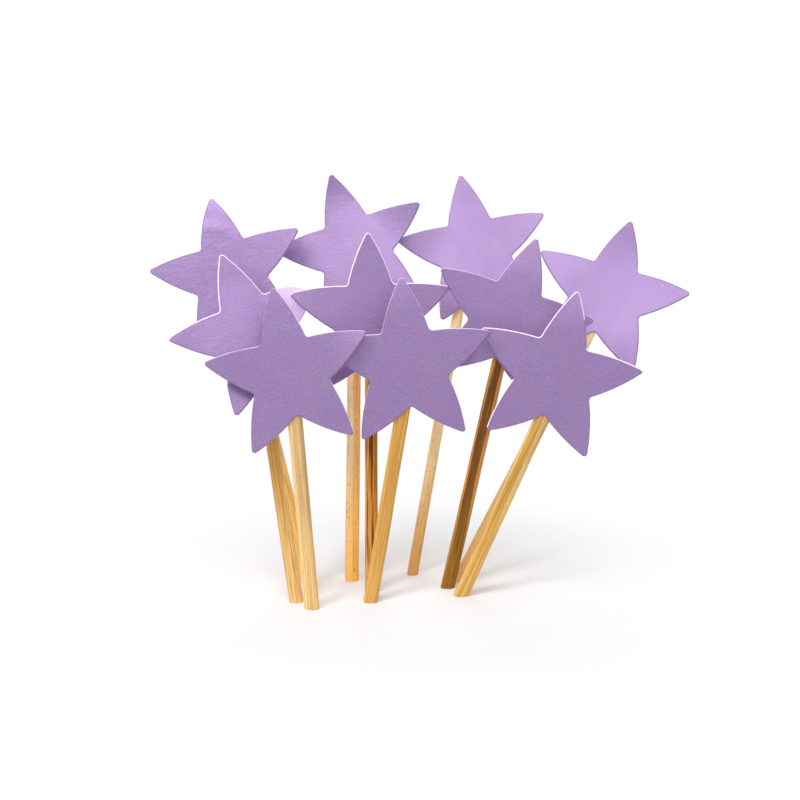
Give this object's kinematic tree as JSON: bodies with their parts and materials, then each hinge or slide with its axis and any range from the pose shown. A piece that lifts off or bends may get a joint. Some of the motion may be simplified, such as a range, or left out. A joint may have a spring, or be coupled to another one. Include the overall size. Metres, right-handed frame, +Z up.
{
  "type": "cupcake topper set",
  "caption": "Star cupcake toppers of pearl card on bamboo sticks, fixed with glue at the back; they stand in a cake at different depths and each pulls out along its stick.",
  "frame": {"origin": "on the surface of the cake, in the middle of the bunch of sticks", "axes": "+Z up out of the cake, +X to the right as seen from the front of the stars, +Y away from the viewer"},
  "size_m": [0.1327, 0.0581, 0.1359],
  "materials": {
    "lilac_card": "pearl",
    "bamboo": "bare",
    "hot_melt_glue": "satin"
  },
  "bodies": {
    "topper_back_left": {"star_back_left": "lilac_card", "stick_back_left": "bamboo", "glue_back_left": "hot_melt_glue"},
    "topper_back_middle_left": {"star_back_middle_left": "lilac_card", "stick_back_middle_left": "bamboo", "glue_back_middle_left": "hot_melt_glue"},
    "topper_back_middle_right": {"star_back_middle_right": "lilac_card", "stick_back_middle_right": "bamboo", "glue_back_middle_right": "hot_melt_glue"},
    "topper_back_right": {"star_back_right": "lilac_card", "stick_back_right": "bamboo", "glue_back_right": "hot_melt_glue"},
    "topper_middle_left": {"star_middle_left": "lilac_card", "stick_middle_left": "bamboo", "glue_middle_left": "hot_melt_glue"},
    "topper_middle": {"star_middle": "lilac_card", "stick_middle": "bamboo", "glue_middle": "hot_melt_glue"},
    "topper_middle_right": {"star_middle_right": "lilac_card", "stick_middle_right": "bamboo", "glue_middle_right": "hot_melt_glue"},
    "topper_front_left": {"star_front_left": "lilac_card", "stick_front_left": "bamboo", "glue_front_left": "hot_melt_glue"},
    "topper_front": {"star_front": "lilac_card", "stick_front": "bamboo", "glue_front": "hot_melt_glue"},
    "topper_front_right": {"star_front_right": "lilac_card", "stick_front_right": "bamboo", "glue_front_right": "hot_melt_glue"}
  },
  "joints": [
    {"name": "pull_back_left", "type": "slide", "parent": "topper_middle", "child": "topper_back_left", "axis": [-0.2506, 0.2504, 0.9352], "range_m": [0, 0.017]},
    {"name": "pull_back_middle_left", "type": "slide", "parent": "topper_middle", "child": "topper_back_middle_left", "axis": [0.0084, 0.2588, 0.9659], "range_m": [0, 0.014]},
    {"name": "pull_back_middle_right", "type": "slide", "parent": "topper_middle", "child": "topper_back_middle_right", "axis": [0.1747, 0.284, 0.9428], "range_m": [0, 0.0125]},
    {"name": "pull_back_right", "type": "slide", "parent": "topper_middle", "child": "topper_back_right", "axis": [0.4658, 0.2164, 0.858], "range_m": [0, 0.0165]},
    {"name": "pull_middle_left", "type": "slide", "parent": "topper_middle", "child": "topper_middle_left", "axis": [-0.1521, 0.2334, 0.9604], "range_m": [0, 0.032]},
    {"name": "pull_middle_right", "type": "slide", "parent": "topper_middle", "child": "topper_middle_right", "axis": [0.215, 0.1132, 0.97], "range_m": [0, 0.0295]},
    {"name": "pull_front_left", "type": "slide", "parent": "topper_middle", "child": "topper_front_left", "axis": [-0.0861, 0.1564, 0.9839], "range_m": [0, 0.0415]},
    {"name": "pull_front", "type": "slide", "parent": "topper_middle", "child": "topper_front", "axis": [0.1643, 0.0958, 0.9817], "range_m": [0, 0.0395]},
    {"name": "pull_front_right", "type": "slide", "parent": "topper_middle", "child": "topper_front_right", "axis": [0.3982, 0.0523, 0.9158], "range_m": [0, 0.039]}
  ]
}
